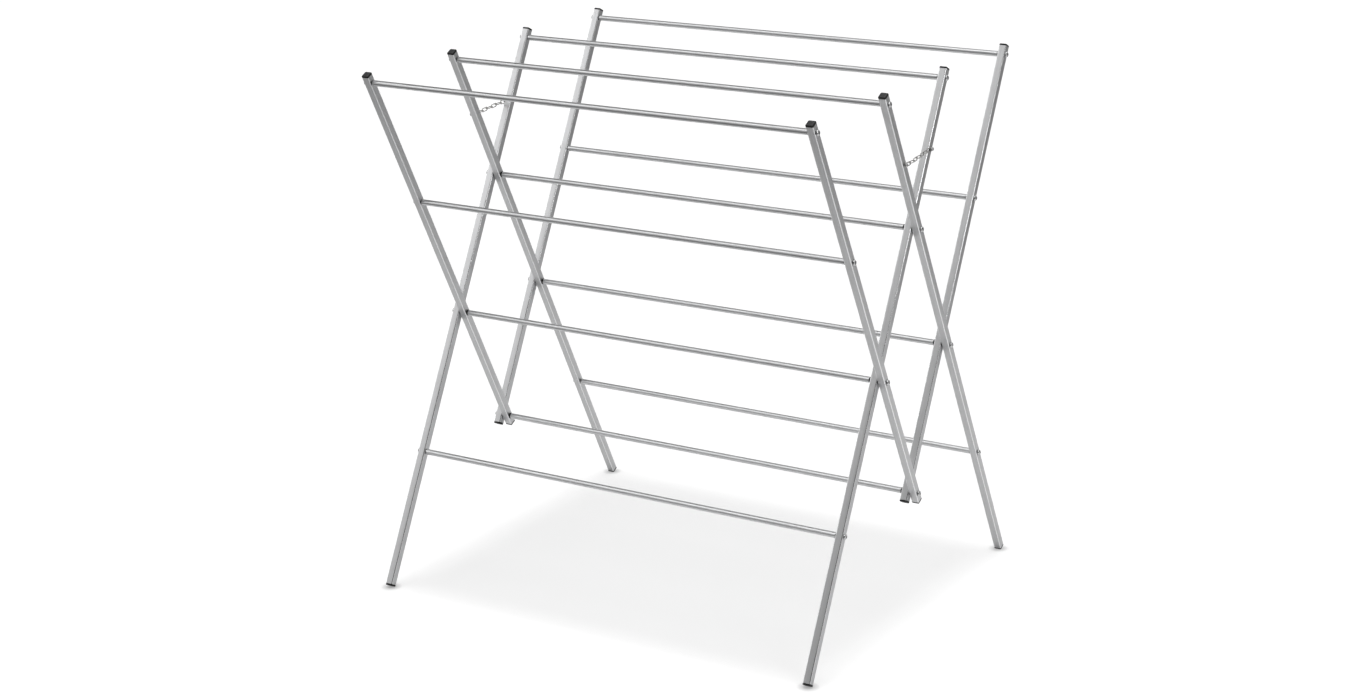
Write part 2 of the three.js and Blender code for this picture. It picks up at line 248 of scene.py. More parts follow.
class RackChainSettings(bpy.types.PropertyGroup):
    """The two stay chains and their small screws."""

    links: IntProperty(name="Links", description="Links in a whole chain", default=7, min=3, max=21)
    wire: size_property("Wire", "Thickness of a link", 1.6 * MM)
    width: size_property("Link width", "Outer width of a link", 7.2 * MM)
    play: size_property("Play", "Gap on each side of an end link", 0.8 * MM)
    shank: size_property("Shank", "Diameter of a chain screw's shank", 3 * MM)
    slack: size_property("Slack", "Gap between the shank and its link", 0.3 * MM)
    head_height: size_property("Head height", "Height of a chain screw's head", 1.8 * MM)
    rim: size_property("Head rim", "Height of the head's straight rim", 0.6 * MM)
    swell: amount_property(
        "Weld", "How far the weld swells a link, as a share", 0.14, max=0.5, subtype="FACTOR"
    )
    recess: size_property("Recess", "Width of a chain screw's cross recess", 3.2 * MM)
    slot: size_property("Slot", "Width of the recess's slots", 0.9 * MM)
    recess_depth: size_property("Recess depth", "Depth of the recess", 1.2 * MM)
    colour: colour_property("Chain colour", "Colour of the plated links", (0.47, 0.466, 0.455))


class RackStudioSettings(bpy.types.PropertyGroup):
    """The floor, the lights and the camera."""

    floor: size_property("Floor", "Width of the floor", 60)
    floor_colour: colour_property("Floor colour", "Colour of the floor", (0.9, 0.9, 0.9))
    floor_glow: amount_property("Floor glow", "Light that the floor adds towards the camera", 0.834)
    # The floor's glow is dimmed between the feet as a painted shade.
    floor_shade: amount_property(
        "Floor shade", "Share of the glow left between the feet", 0.804, max=1, subtype="FACTOR"
    )
    sky: amount_property("Sky", "Brightness of the sky's even light", 0.72)
    backdrop: amount_property("Backdrop", "Brightness of the sky as the camera sees it", 1.0)
    side_light: amount_property("Side light", "Power of the side soft box", 3.4, unit="POWER")
    side_light_size: size_property("Side light size", "Width of the side soft box", 0.55)
    lens: FloatProperty(
        name="Lens", description="Focal length in millimetres", default=65.703, min=1, unit="CAMERA"
    )


# -------- node trees


class Flow:
    """What flows out of a node. Arithmetic on it adds the nodes that work out the result."""

    def __init__(self, build, socket):
        self.build = build
        self.socket = socket

    def __add__(self, other):
        return self.build.math("ADD", self, other)

    def __sub__(self, other):
        return self.build.math("SUBTRACT", self, other)

    def __rsub__(self, other):
        return self.build.math("SUBTRACT", other, self)

    def __mul__(self, other):
        return self.build.math("MULTIPLY", self, other)

    def __truediv__(self, other):
        return self.build.math("DIVIDE", self, other)

    def __rtruediv__(self, other):
        return self.build.math("DIVIDE", other, self)


class Builder:
    """Adds nodes to a tree, each one joined to what feeds it."""

    def __init__(self, tree):
        self.tree = tree

    def join(self, value, socket):
        """Feeds a socket with what flows out of a node, or with a plain value."""
        if isinstance(value, bpy.types.Node):
            value = self.flow(value)
        if isinstance(value, Flow):
            self.tree.links.new(value.socket, socket)
        elif value is not None:
            socket.default_value = value

    def add(self, kind, *feeds, **settings):
        """One node: settings are its properties, feeds go to its inputs in order, and None skips one."""
        node = self.tree.nodes.new(kind)
        for key, value in settings.items():
            setattr(node, key, value)
        for socket, value in zip([s for s in node.inputs if s.enabled], feeds):
            self.join(value, socket)
        return node

    def flow(self, node, output=None):
        """What flows out of a node, from its named output or from the first one in use."""
        if output:
            return Flow(self, node.outputs[output])
        return Flow(self, next(socket for socket in node.outputs if socket.enabled))

    def flows(self, node):
        """What flows out of each named output of a node."""
        return {socket.name: Flow(self, socket) for socket in node.outputs}

    def math(self, operation, *feeds):
        """A sum, a product or another operation on numbers."""
        return self.flow(self.add("ShaderNodeMath", *feeds, operation=operation))

    def vector(self, operation, *feeds):
        """An operation on vectors."""
        return self.add("ShaderNodeVectorMath", *feeds, operation=operation)

    def xyz(self, x, y, z):
        """A vector from three numbers."""
        return self.add("ShaderNodeCombineXYZ", x, y, z)

    def parts(self, vector):
        """The three numbers of a vector."""
        return list(self.flows(self.add("ShaderNodeSeparateXYZ", vector)).values())

    def spread(self, value, low, high, to_low=0.0, to_high=1.0):
        """A number taken from one range to another, and held inside it."""
        return self.flow(self.add("ShaderNodeMapRange", value, low, high, to_low, to_high))

    def between(self, mask, low, high):
        """A number that goes from low to high as a mask goes from nought to one."""
        return self.spread(mask, 0, 1, low, high)

    def scaled(self, vector, size):
        """A vector counted in a size."""
        node = self.vector("SCALE", vector)
        self.join(1 / size, node.inputs["Scale"])
        return node

    def noise(self, vector, scale, detail, roughness):
        """Soft noise."""
        return self.flow(self.add("ShaderNodeTexNoise", vector, scale, detail, roughness))

    def coordinates(self, kind="Object"):
        """The place on the object, or another kind of coordinates."""
        return self.flow(self.add("ShaderNodeTexCoord"), kind)

    def mask(self, name):
        """A mask that is stored on the surface."""
        return self.flow(self.add("ShaderNodeAttribute", attribute_name=name), "Fac")

    def from_camera(self):
        """One for what the camera sees itself, and nought for what light and reflections meet."""
        return self.flow(self.add("ShaderNodeLightPath"), "Is Camera Ray")


def open_tree(name, kind, inputs, outputs):
    """A new node tree with named sockets: its builder, and what flows from its inputs."""
    tree = bpy.data.node_groups.new(name, kind)
    for in_out, sockets in (("INPUT", inputs), ("OUTPUT", outputs)):
        for label, (socket_type, default) in sockets.items():
            socket = tree.interface.new_socket(label, in_out=in_out, socket_type=socket_type)
            if default is not None:
                socket.default_value = default
    build = Builder(tree)
    return build, build.flows(build.add("NodeGroupInput"))


def input_name(keyword):
    """The name of a tree's input for a keyword, such as Head Height for head_height."""
    return keyword.replace("_", " ").title()


def geometry_tree(name, sizes, counts):
    """A geometry tree with a named input for each size and each count."""
    inputs = {"Geometry": ("NodeSocketGeometry", None)}
    inputs.update({label: ("NodeSocketFloat", size) for label, size in sizes.items()})
    inputs.update({label: ("NodeSocketInt", count) for label, count in counts.items()})
    inputs["Finish"] = ("NodeSocketMaterial", None)
    return open_tree(name, "GeometryNodeTree", inputs, {"Geometry": ("NodeSocketGeometry", None)})


def close_tree(build, source, shape):
    """Puts a copy of a shape on each point, turned as the point says, as real geometry with its finish."""
    turned = build.add("GeometryNodeInputNamedAttribute", "turned", data_type="FLOAT_VECTOR")
    rotation = build.add("FunctionNodeEulerToRotation", turned)
    copies = build.add(
        "GeometryNodeInstanceOnPoints", source["Geometry"], None, shape, None, None, rotation
    )
    real = build.add("GeometryNodeRealizeInstances", copies)
    build.add("NodeGroupOutput", build.add("GeometryNodeSetMaterial", real, None, source["Finish"]))
    return build.tree


def cylinder(build, facets, rows, radius, depth):
    """An upright cylinder with rows of faces up its side."""
    return build.add("GeometryNodeMeshCylinder", facets, rows, 1, radius, depth, fill_type="NGON")


def point_place(build):
    """The place of each point, as three numbers."""
    return build.parts(build.add("GeometryNodeInputPosition"))


def reshape(build, geometry, x, y, z):
    """The geometry with new places for its points."""
    return build.add("GeometryNodeSetPosition", geometry, None, build.xyz(x, y, z))


def store_mask(build, geometry, name, value):
    """The geometry with a mask stored on its points, for its material."""
    return build.add(
        "GeometryNodeStoreNamedAttribute", geometry, None, name, value, data_type="FLOAT", domain="POINT"
    )


def lay_along_x(build, geometry):
    """The geometry turned from the Z axis to the X axis."""
    return build.add("GeometryNodeTransform", geometry, None, (0, math.radians(90), 0))


def rod_tree():
    """A rung: a round rod along X, with its two ends rounded over and a mask for the shade painted on them where
    they meet a leg.
    """
    steps = 4
    stations = 2 * steps + 1
    unshaded_angle = math.radians(80)
    shaded_angle = math.radians(30)
    sizes = {"Length": 0.8, "Diameter": 9.5 * MM, "End Round": 0.5 * MM}
    build, source = geometry_tree("Rung rod", sizes, {"Facets": 48})
    radius = source["Diameter"] * 0.5
    rod = cylinder(build, source["Facets"], stations, radius, source["Length"])
    x, y, z = point_place(build)
    share = z / source["Length"] + 0.5
    nearest = build.math("MINIMUM", share, 1 - share)
    angle = build.math("MINIMUM", nearest * (stations / steps), 1) * (math.pi / 2)
    inset = source["End Round"] * (1 - build.math("COSINE", angle))
    half = source["Length"] * 0.5 - inset
    lost = source["End Round"] * (1 - build.math("SINE", angle))
    shrink = (radius - lost) / radius
    # The seat mask marks where a dark contact shadow is painted round each rung end.
    marked = store_mask(build, rod, "seat", build.spread(angle, shaded_angle, unshaded_angle, 1, 0))
    rounded = reshape(build, marked, x * shrink, y * shrink, build.math("SIGN", z) * half)
    return close_tree(build, source, lay_along_x(build, rounded))


def screw_tree():
    """A pan head screw along X: a dome that narrows at its seat, with a cross recess, on a plain shank."""
    rings = 9
    shank_facets = 24
    crown_angle = math.radians(76)
    crown_fullness = 0.6
    slot_taper = 0.42
    slot_draft = 0.25
    sizes = {
        "Head": 9.5 * MM,
        "Head Height": 3.2 * MM,
        "Rim": 0.8 * MM,
        "Undercut": 0.07,
        "Recess": 4.7 * MM,
        "Slot": 1.35 * MM,
        "Recess Depth": 2.1 * MM,
        "Shank": 5 * MM,
        "Shank Length": 15 * MM,
    }
    build, source = geometry_tree("Pan head screw", sizes, {"Facets": 40})
    blank = cylinder(build, source["Facets"], rings, source["Head"] * 0.5, 1)
    x, y, z = point_place(build)
    share = z + 0.5
    up_rim = build.math("MINIMUM", share * rings, 1)
    angle = build.spread(share, 1 / rings, 1, 0, crown_angle)
    crown = (source["Head Height"] - source["Rim"]) * (build.math("SINE", angle) / math.sin(crown_angle))
    height = source["Rim"] * up_rim + crown
    at_seat = 1 - up_rim
    narrow = build.math("POWER", build.math("COSINE", angle), crown_fullness)
    narrow = narrow - at_seat * source["Undercut"]
    # The head's seat is marked together with the recess, for painted shade under its rim.
    with_painted_shade = store_mask(build, blank, "recess", at_seat)
    head = reshape(build, with_painted_shade, x * narrow, y * narrow, height)

    slot_size = build.xyz(source["Recess"], source["Slot"], source["Recess Depth"] * 2)
    slot = build.add("GeometryNodeMeshCube", slot_size)
    below = z / source["Recess Depth"]
    taper = below * slot_taper + 1
    draft = below * slot_draft + 1
    tapered = reshape(build, slot, x * taper, y * draft, z + source["Head Height"])
    # The recess's faces are marked for painted shade.
    marked = store_mask(build, tapered, "recess", 1.0)
    crossed = build.add("GeometryNodeTransform", marked, None, (0, 0, math.radians(90)))
    cut = build.add("GeometryNodeMeshBoolean", head, marked, operation="DIFFERENCE", solver="EXACT")
    build.join(crossed, cut.inputs[1])

    shank = cylinder(build, shank_facets, 1, source["Shank"] * 0.5, source["Shank Length"])
    sunk = source["Shank Length"] * -0.5 + SHANK_OVERLAP
    hung = build.add("GeometryNodeTransform", shank, build.xyz(0, 0, sunk))
    whole = build.add("GeometryNodeJoinGeometry", cut)
    build.join(hung, whole.inputs[0])
    return close_tree(build, source, lay_along_x(build, whole))


def washer_tree():
    """A flat ring round X, with its edges rounded over."""
    sizes = {"Diameter": 12 * MM, "Hole": 5.6 * MM, "Thickness": 1 * MM, "Edge Round": 0.18 * MM}
    build, source = geometry_tree("Pivot washer", sizes, {"Facets": 48, "Edge Steps": 3})
    band = (source["Diameter"] - source["Hole"]) * 0.5
    reach = (source["Diameter"] + source["Hole"]) * 0.25
    ring = build.add("GeometryNodeCurvePrimitiveCircle", source["Facets"], reach)
    section = build.add("GeometryNodeCurvePrimitiveQuadrilateral", source["Thickness"], band)
    rounded = build.add(
        "GeometryNodeFilletCurve", section, source["Edge Steps"], source["Edge Round"], mode="POLY"
    )
    solid = build.add("GeometryNodeCurveToMesh", ring, rounded)
    return close_tree(build, source, lay_along_x(build, solid))


def link_tree():
    """A welded chain link that lies along X in the XY plane, with the swell of its weld on one side."""
    full_bend = 0.4999  # a hair under half the width, so that the two arcs of an end don't meet
    sizes = {
        "Length": 20.6 * MM,
        "Width": 7.2 * MM,
        "Wire": 1.6 * MM,
        "Swell": 0.16,
        "Weld Length": 1.1 * MM,
    }
    build, source = geometry_tree("Chain link", sizes, {"Stations": 44, "Facets": 10, "Arc Steps": 10})
    short_side = source["Width"] - source["Wire"]
    outline = build.add(
        "GeometryNodeCurvePrimitiveQuadrilateral", source["Length"] - source["Wire"], short_side
    )
    bend = short_side * full_bend
    rounded = build.add("GeometryNodeFilletCurve", outline, source["Arc Steps"], bend, mode="POLY")
    even = build.add("GeometryNodeResampleCurve", rounded, None, source["Stations"])
    x, y = point_place(build)[:2]
    reach = x / source["Weld Length"]
    bump = build.math("EXPONENT", reach * reach * -1)
    swell = bump * build.math("GREATER_THAN", y, 0) * source["Swell"]
    radius = build.math("ADD", 1, swell)
    sized = build.add("GeometryNodeSetCurveRadius", even, None, radius)
    section = build.add("GeometryNodeCurvePrimitiveCircle", source["Facets"], source["Wire"] * 0.5)
    return close_tree(build, source, build.add("GeometryNodeCurveToMesh", sized, section, radius))


# -------- shader groups and materials

BLACK, WHITE = (0, 0, 0, 1), (1, 1, 1, 1)


def pattern_tree(name, sizes, *outputs):
    """A shader tree for a pattern over a vector, with a named input for each size, that puts out numbers."""
    inputs = {"Vector": ("NodeSocketVector", None)}
    inputs.update({label: ("NodeSocketFloat", size) for label, size in sizes.items()})
    return open_tree(name, "ShaderNodeTree", inputs, {label: ("NodeSocketFloat", None) for label in outputs})


def drawn_grain():
    """Fine lines along the second axis of the vector, as drawing through a die leaves them."""
    sizes = {"Line Spacing": 0.3 * MM, "Line Length": 0.06}
    build, source = pattern_tree("Drawn grain", sizes, "Streak", "Height")
    tight = 1 / source["Line Spacing"]
    stretch = build.xyz(tight, 1 / source["Line Length"], tight)
    lines = build.vector("MULTIPLY", source["Vector"], stretch)
    fine = build.noise(lines, scale=1, detail=2, roughness=0.6)
    broad = build.noise(lines, scale=0.14, detail=1, roughness=0.5)
    build.add("NodeGroupOutput", build.spread(fine * 0.6 + broad * 0.4, 0.36, 0.64), fine)
    return build.tree


def handling_marks():
    """Soft clouded patches broken up by fine rubbing, as hands and wet cloth leave on metal."""
    sizes = {"Patch Size": 0.05, "Rub Size": 2 * MM}
    build, source = pattern_tree("Handling marks", sizes, "Mask")
    wide = build.scaled(source["Vector"], source["Patch Size"])
    close = build.scaled(source["Vector"], source["Rub Size"])
    patch = build.spread(build.noise(wide, scale=1, detail=3, roughness=0.55), 0.45, 0.7)
    rub = build.spread(build.noise(close, scale=1, detail=2, roughness=0.6), 0.3, 0.7, 0.4, 1)
    build.add("NodeGroupOutput", patch * rub)
    return build.tree


def moulded_grain():
    """The fine pebbled skin of a moulded part."""
    build, source = pattern_tree("Moulded grain", {"Grain Size": 0.25 * MM}, "Height", "Mottle")
    grains = build.scaled(source["Vector"], source["Grain Size"])
    pebble = build.flow(build.add("ShaderNodeTexVoronoi", grains, 1, feature="SMOOTH_F1"), "Distance")
    mottle = build.spread(build.noise(grains, scale=0.12, detail=3, roughness=0.6), 0.3, 0.7)
    build.add("NodeGroupOutput", pebble, mottle)
    return build.tree


def worn_and_highlit_edge():
    """Where an edge has rubbed and where a painted highlight lies along it: the edge's own mask, broken up by noise.
    """
    build, source = pattern_tree("Worn and highlit edge", {"Edge": 0.0, "Breakup Size": 0.8 * MM}, "Mask")
    spots = build.scaled(source["Vector"], source["Breakup Size"])
    breakup = build.noise(spots, scale=1, detail=3, roughness=0.6) + 0.45
    build.add("NodeGroupOutput", build.spread(source["Edge"] * breakup, 0.3, 0.8))
    return build.tree


def shared(maker):
    """A shader group, made the first time that a material asks for it."""
    name = maker.__name__.replace("_", " ").capitalize()
    return bpy.data.node_groups.get(name) or maker()


def use_group(build, maker, vector, **sizes):
    """Places a shared shader group in a material, with its own sizes, and gives what flows out of it."""
    node = build.add("ShaderNodeGroup", vector, node_tree=shared(maker))
    for keyword, size in sizes.items():
        build.join(size, node.inputs[input_name(keyword)])
    return build.flows(node)


def open_material(name, metallic=0):
    """A new material, its builder and its shader."""
    material = bpy.data.materials.new(name)
    material.use_nodes = True
    material.node_tree.nodes.clear()
    build = Builder(material.node_tree)
    shader = build.add("ShaderNodeBsdfPrincipled")
    shader.inputs["Metallic"].default_value = metallic
    build.add("ShaderNodeOutputMaterial", shader)
    return material, build, shader


def dress(build, shader, colour, roughness, height, strength, depth):
    """Gives a shader its colour and roughness, and its relief from a height map."""
    bump = build.add("ShaderNodeBump")
    bump.inputs["Strength"].default_value = strength
    bump.inputs["Distance"].default_value = depth
    build.join(height, bump.inputs["Height"])
    build.join(bump, shader.inputs["Normal"])
    build.join(colour, shader.inputs["Base Color"])
    build.join(roughness, shader.inputs["Roughness"])


def tinted(colour, share, warm=0.0):
    """A colour made darker or lighter, with a little warmth if asked."""
    red, green, blue = (channel * share for channel in colour)
    return (min(red * (1 + warm), 1), min(green, 1), min(blue * (1 - warm), 1), 1)


def blend_colours(build, mask, first, second):
    """A colour that goes from one to another as the mask says."""
    return build.flow(build.add("ShaderNodeMix", mask, first, second, data_type="RGBA"))


def satin_tube(colour, side):
    """Satin aluminium tube: drawn lines along its length, clouded by handling, painted brighter at its corners as a
    highlight line over some rubbed wear.

    A side is the way round the tube from the middle of one corner to the middle of the next.
    """
    material, build, shader = open_material("Satin tube", metallic=1)
    along = build.add("ShaderNodeUVMap", uv_map="UVMap")
    grain = use_group(build, drawn_grain, along, line_spacing=0.35 * MM, line_length=0.09)
    marks = use_group(build, handling_marks, along, patch_size=0.06, rub_size=2.5 * MM)["Mask"]
    from_corner = build.math("PINGPONG", build.parts(along)[0], side / 2)
    edge = build.spread(from_corner, 0, 1.8 * MM, 1, 0)
    wear_and_highlight = use_group(build, worn_and_highlit_edge, along, edge=edge, breakup_size=1.5 * MM)["Mask"]
    drawn = blend_colours(build, grain["Streak"], tinted(colour, 0.9), tinted(colour, 1.05))
    rubbed = blend_colours(build, marks, drawn, tinted(colour, 0.93, warm=0.004))
    # Painted highlight: a bright line along each corner, over some rubbed wear.
    bright = blend_colours(build, wear_and_highlight, rubbed, tinted(colour, 1.55))
    roughness = build.between(grain["Streak"], 0.30, 0.38) + marks * 0.07 - wear_and_highlight * 0.1
    dress(build, shader, bright, roughness, grain["Height"], strength=0.12, depth=0.05 * MM)
    shader.inputs["Anisotropic"].default_value = 0.55
    tangent = build.add("ShaderNodeTangent", direction_type="UV_MAP", uv_map="UVMap")
    build.join(tangent, shader.inputs["Tangent"])
    return material


def drawn_rung(colour):
    """Bright drawn aluminium rod: lines along X, faint rubbing, and a painted contact shadow where it meets a leg.
    """
    material, build, shader = open_material("Drawn rung", metallic=1)
    here = build.coordinates()
    turned = build.add("ShaderNodeMapping", here, None, (0, 0, math.radians(90)))
    grain = use_group(build, drawn_grain, turned, line_spacing=0.3 * MM, line_length=0.12)
    marks = use_group(build, handling_marks, here, patch_size=0.04, rub_size=2 * MM)["Mask"]
    seat = build.mask("seat")
    drawn = blend_colours(build, grain["Streak"], tinted(colour, 0.93), tinted(colour, 1.04))
    rubbed = blend_colours(build, marks, drawn, tinted(colour, 0.92))
    # Painted shade: the rung's ends turn nearly black where they meet a leg.
    with_painted_shade = blend_colours(build, seat * 0.9, rubbed, tinted(colour, 0.08, warm=0.02))
    roughness = build.between(grain["Streak"], 0.29, 0.37) + marks * 0.08 + seat * 0.3
    dress(build, shader, with_painted_shade, roughness, grain["Height"], strength=0.1, depth=0.04 * MM)
    return material


def plated_screw(colour):
    """Bright zinc plating with fine marks, with shade painted dark in the recess and under the head's rim."""
    material, build, shader = open_material("Plated screw", metallic=1)
    here = build.coordinates()
    marks = use_group(build, handling_marks, here, patch_size=3 * MM, rub_size=0.4 * MM)["Mask"]
    # Painted shade: the recess and the seat under the head's rim are darkened.
    recess = build.mask("recess")
    cloud = blend_colours(build, marks, tinted(colour, 1), tinted(colour, 0.86, warm=0.01))
    with_painted_shade = blend_colours(build, recess * 0.5, cloud, tinted(colour, 0.25))
    roughness = build.between(marks, 0.16, 0.3) + recess * 0.3
    dress(build, shader, with_painted_shade, roughness, marks, strength=0.1, depth=0.03 * MM)
    return material


def plated_chain(colour):
    """Plated steel wire: a bright skin with cloudy patches and a little roughness."""
    material, build, shader = open_material("Plated chain", metallic=1)
    here = build.coordinates()
    marks = use_group(build, handling_marks, here, patch_size=4 * MM, rub_size=0.5 * MM)["Mask"]
    pebble = use_group(build, moulded_grain, here, grain_size=0.35 * MM)["Height"]
    skin = blend_colours(build, marks, tinted(colour, 1.08), tinted(colour, 0.8, warm=0.02))
    roughness = build.between(marks, 0.2, 0.38)
    dress(build, shader, skin, roughness, pebble, strength=0.12, depth=0.04 * MM)
    return material


def moulded_black(name, colour, grain_size, gloss):
    """Black moulded plastic with a fine skin, with a painted sheen that greys its crown, and greyer where its edges
    have rubbed and catch a painted highlight.
    """
    material, build, shader = open_material(name)
    here = build.coordinates()
    skin = use_group(build, moulded_grain, here, grain_size=grain_size)
    wear_and_highlight = use_group(build, worn_and_highlit_edge, here, edge=build.mask("edge"), breakup_size=0.9 * MM)["Mask"]
    mottled = blend_colours(build, skin["Mottle"], tinted(colour, 0.8), tinted(colour, 1.25))
    edge_lightened = blend_colours(build, wear_and_highlight * 0.15, mottled, tinted(colour, 4))
    # Painted sheen: the crown is made greyer, standing in for light from above.
    crown_sheen = build.mask("crown") * build.between(skin["Mottle"], 0.7, 1)
    greyer = blend_colours(build, crown_sheen, edge_lightened, tinted(colour, 5))
    roughness = build.between(skin["Mottle"], gloss - 0.05, gloss + 0.07) + wear_and_highlight * 0.12
    dress(build, shader, greyer, roughness, skin["Height"], strength=0.2, depth=0.05 * MM)
    shader.inputs["Specular IOR Level"].default_value = 0.3
    return material


def pale_floor(colour, glow, feet, shaded):
    """A plain pale floor, with painted shade between the feet and a painted shadow close round each foot.

    In reflections it is painted darker in front and far behind, as a floor less lit there.
    """
    in_front, far_behind = (-1.1, -0.3), (1.2, 2.0)  # where along Y the floor darkens in reflections
    shade_edge = (0.82, 1.05)  # where the painted shade ends, as shares of the way out to the feet
    contact = (6 * MM, 20 * MM)  # where the painted shadow round a foot ends
    material, build, shader = open_material("Pale floor")
    here = build.coordinates()
    y = build.parts(here)[1]
    lit = build.spread(y, *in_front, 0.2, 1) * build.spread(y, *far_behind, 1, 0.45)
    reflected = blend_colours(build, lit, BLACK, tinted(colour, 1))
    from_camera = build.from_camera()
    seen = blend_colours(build, from_camera, reflected, tinted(colour, 0.39))
    cloud = build.noise(here, scale=1.5, detail=2, roughness=0.5)
    plain = blend_colours(build, cloud, tinted(colour, 0.995), tinted(colour, 1))

    footprint = (max(abs(foot.x) for foot in feet), max(abs(foot.y) for foot in feet), 1)
    outward = build.vector("ABSOLUTE", build.vector("DIVIDE", here, footprint))
    along_x, along_y = build.parts(outward)[:2]
    past_edge = build.spread(build.math("MAXIMUM", along_x, along_y), *shade_edge)
    clear = build.between(build.math("POWER", past_edge, 2), shaded, 1)
    # Painted shadow: the glow dims close round each foot.
    for foot in feet:
        away = build.vector("DISTANCE", here, (foot.x, foot.y, 0))
        clear = clear * build.spread(away, *contact, 0.5, 1)

    build.join(seen, shader.inputs["Base Color"])
    build.join(plain, shader.inputs["Emission Color"])
    build.join(from_camera * clear * glow, shader.inputs["Emission Strength"])
    shader.inputs["Roughness"].default_value = 0.9
    shader.inputs["Specular IOR Level"].default_value = 0.1
    return material


# -------- making and fitting pieces


def new_piece(name, mesh):
    """An object for a mesh, at the origin and unturned."""
    piece = bpy.data.objects.new(name, mesh)
    bpy.context.scene.collection.objects.link(piece)
    return piece


def shape_piece(name, shape):
    """An object for a shape, which is freed."""
    mesh = bpy.data.meshes.new(name)
    shape.to_mesh(mesh)
    shape.free()
    return new_piece(name, mesh)


def settle(piece):
    """Turns a piece with its modifiers into a plain mesh."""
    graph = bpy.context.evaluated_depsgraph_get()
    mesh = bpy.data.meshes.new_from_object(
        piece.evaluated_get(graph), preserve_all_data_layers=True, depsgraph=graph
    )
    rough = piece.data
    piece.modifiers.clear()
    piece.data = mesh
    bpy.data.meshes.remove(rough)
    mesh.name = piece.name
    if not mesh.polygons:
        raise RuntimeError(f"{piece.name} came out with no faces")
    return piece


def shade(piece, sharp_angle=38):
    """Smooth shading that keeps flat faces flat and sharp edges sharp."""
    mesh = piece.data
    mesh.polygons.foreach_set("use_smooth", [True] * len(mesh.polygons))
    mesh.set_sharp_from_angle(angle=math.radians(sharp_angle))
    modifier = piece.modifiers.new("Even shading", "WEIGHTED_NORMAL")
    modifier.keep_sharp = True
    return settle(piece)


def grow(name, points, turns, tree, finish, **sizes):
    """Runs a geometry tree on points, each with its own turn, and keeps the result as a plain mesh."""
    mesh = bpy.data.meshes.new(name)
    mesh.from_pydata([tuple(point) for point in points], [], [])
    turned = mesh.attributes.new("turned", "FLOAT_VECTOR", "POINT")
    turned.data.foreach_set("vector", [angle for turn in turns for angle in turn])
    piece = new_piece(name, mesh)
    modifier = piece.modifiers.new(tree.name, "NODES")
    modifier.node_group = tree
    values = {input_name(keyword): size for keyword, size in sizes.items()}
    values["Finish"] = finish
    for item in tree.interface.items_tree:
        if item.in_out == "INPUT" and item.name in values:
            modifier[item.identifier] = values.pop(item.name)
    if values:
        raise RuntimeError(f"{tree.name} has no input named {sorted(values)}")
    settle(piece)
    left_over = piece.data.attributes.get("turned")
    if left_over:
        piece.data.attributes.remove(left_over)
    return shade(piece)


def fit(piece, node_or_body, slot, *nodes):
    """Rides a piece on its body and hides the nodes that it stands for; the slot is not used."""
    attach(piece, BODY_OF.get(node_or_body, node_or_body))
    if nodes:
        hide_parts(*nodes)
    return piece


def rounded_square(half, corner, corner_steps=6, side_steps=1):
    """Points round a square with rounded corners, anticlockwise, starting at the middle of a corner."""
    centre = half - corner
    angles = [math.radians(90 * step / corner_steps) for step in range(corner_steps + 1)]
    quarter = [(centre + corner * math.cos(angle), centre + corner * math.sin(angle)) for angle in angles]
    flat = 2 * centre
    quarter += [(centre - flat * step / side_steps, half) for step in range(1, side_steps)]
    points = []
    for turn in range(4):
        cos, sin = round(math.cos(turn * math.pi / 2)), round(math.sin(turn * math.pi / 2))
        points += [(x * cos - y * sin, x * sin + y * cos) for x, y in quarter]
    start = corner_steps // 2
    return points[start:] + points[:start]


def loft(name, levels, place, closed=False, marks=None):
    """A skin over rings of points at their heights; closed joins the last ring to the first.

    Marks are named masks for the materials, each with one number for each ring.
    """
    shape = bmesh.new()
    uv = shape.loops.layers.uv.new("UVMap")
    layers = {mark: shape.verts.layers.float.new(mark) for mark in marks or {}}
    rings = []
    for number, (ring, height) in enumerate(levels):
        verts = [shape.verts.new(place @ Vector((x, y, height))) for x, y in ring]
        for mark, layer in layers.items():
            for vert in verts:
                vert[layer] = marks[mark][number]
        rings.append(verts)
    count = len(rings[0])
    travel = [0.0]
    ring = levels[0][0]
    for index in range(count):
        travel.append(travel[-1] + math.dist(ring[index], ring[(index + 1) % count]))
    for below in range(len(rings) if closed else len(rings) - 1):
        above = (below + 1) % len(rings)
        for index in range(count):
            corners = ((index, below), (index + 1, below), (index + 1, above), (index, above))
            face = shape.faces.new([rings[level][stop % count] for stop, level in corners])
            for loop, (stop, level) in zip(face.loops, corners):
                loop[uv].uv = (travel[stop], levels[level][1])
    if not closed:
        shape.faces.new(reversed(rings[0]))
        shape.faces.new(rings[-1])
    return shape_piece(name, shape)


def drill(piece, holes, facets=32):
    """Cuts round holes along X through a piece: each hole has a start, a length and a radius."""
    shape = bmesh.new()
    size = {"cap_ends": True, "segments": facets}
    for start, length, radius in holes:
        centre = start + RIGHTWARD * (length / 2)
        place = Matrix.Translation(centre) @ Matrix.Rotation(math.radians(90), 4, "Y")
        bmesh.ops.create_cone(shape, radius1=radius, radius2=radius, depth=length, matrix=place, **size)
    cutter = shape_piece("Drill", shape)
    modifier = piece.modifiers.new("Holes", "BOOLEAN")
    modifier.operation = "DIFFERENCE"
    modifier.solver = "EXACT"
    modifier.object = cutter
    settle(piece)
    bpy.data.meshes.remove(cutter.data)
    return piece


def at_x(point, x):
    """A point moved to another place along X."""
    return Vector((x, point.y, point.z))


def on_leg(node, leg):
    """Whether a rung or a screw stands on a leg's centre line."""
    across, up = leg_axes(leg)
    point = middle(node)
    centre = sum(extent(leg, across)) / 2
    low, high = extent(leg, up)
    return abs(point.dot(across) - centre) < 1 * MM and low < point.dot(up) < high


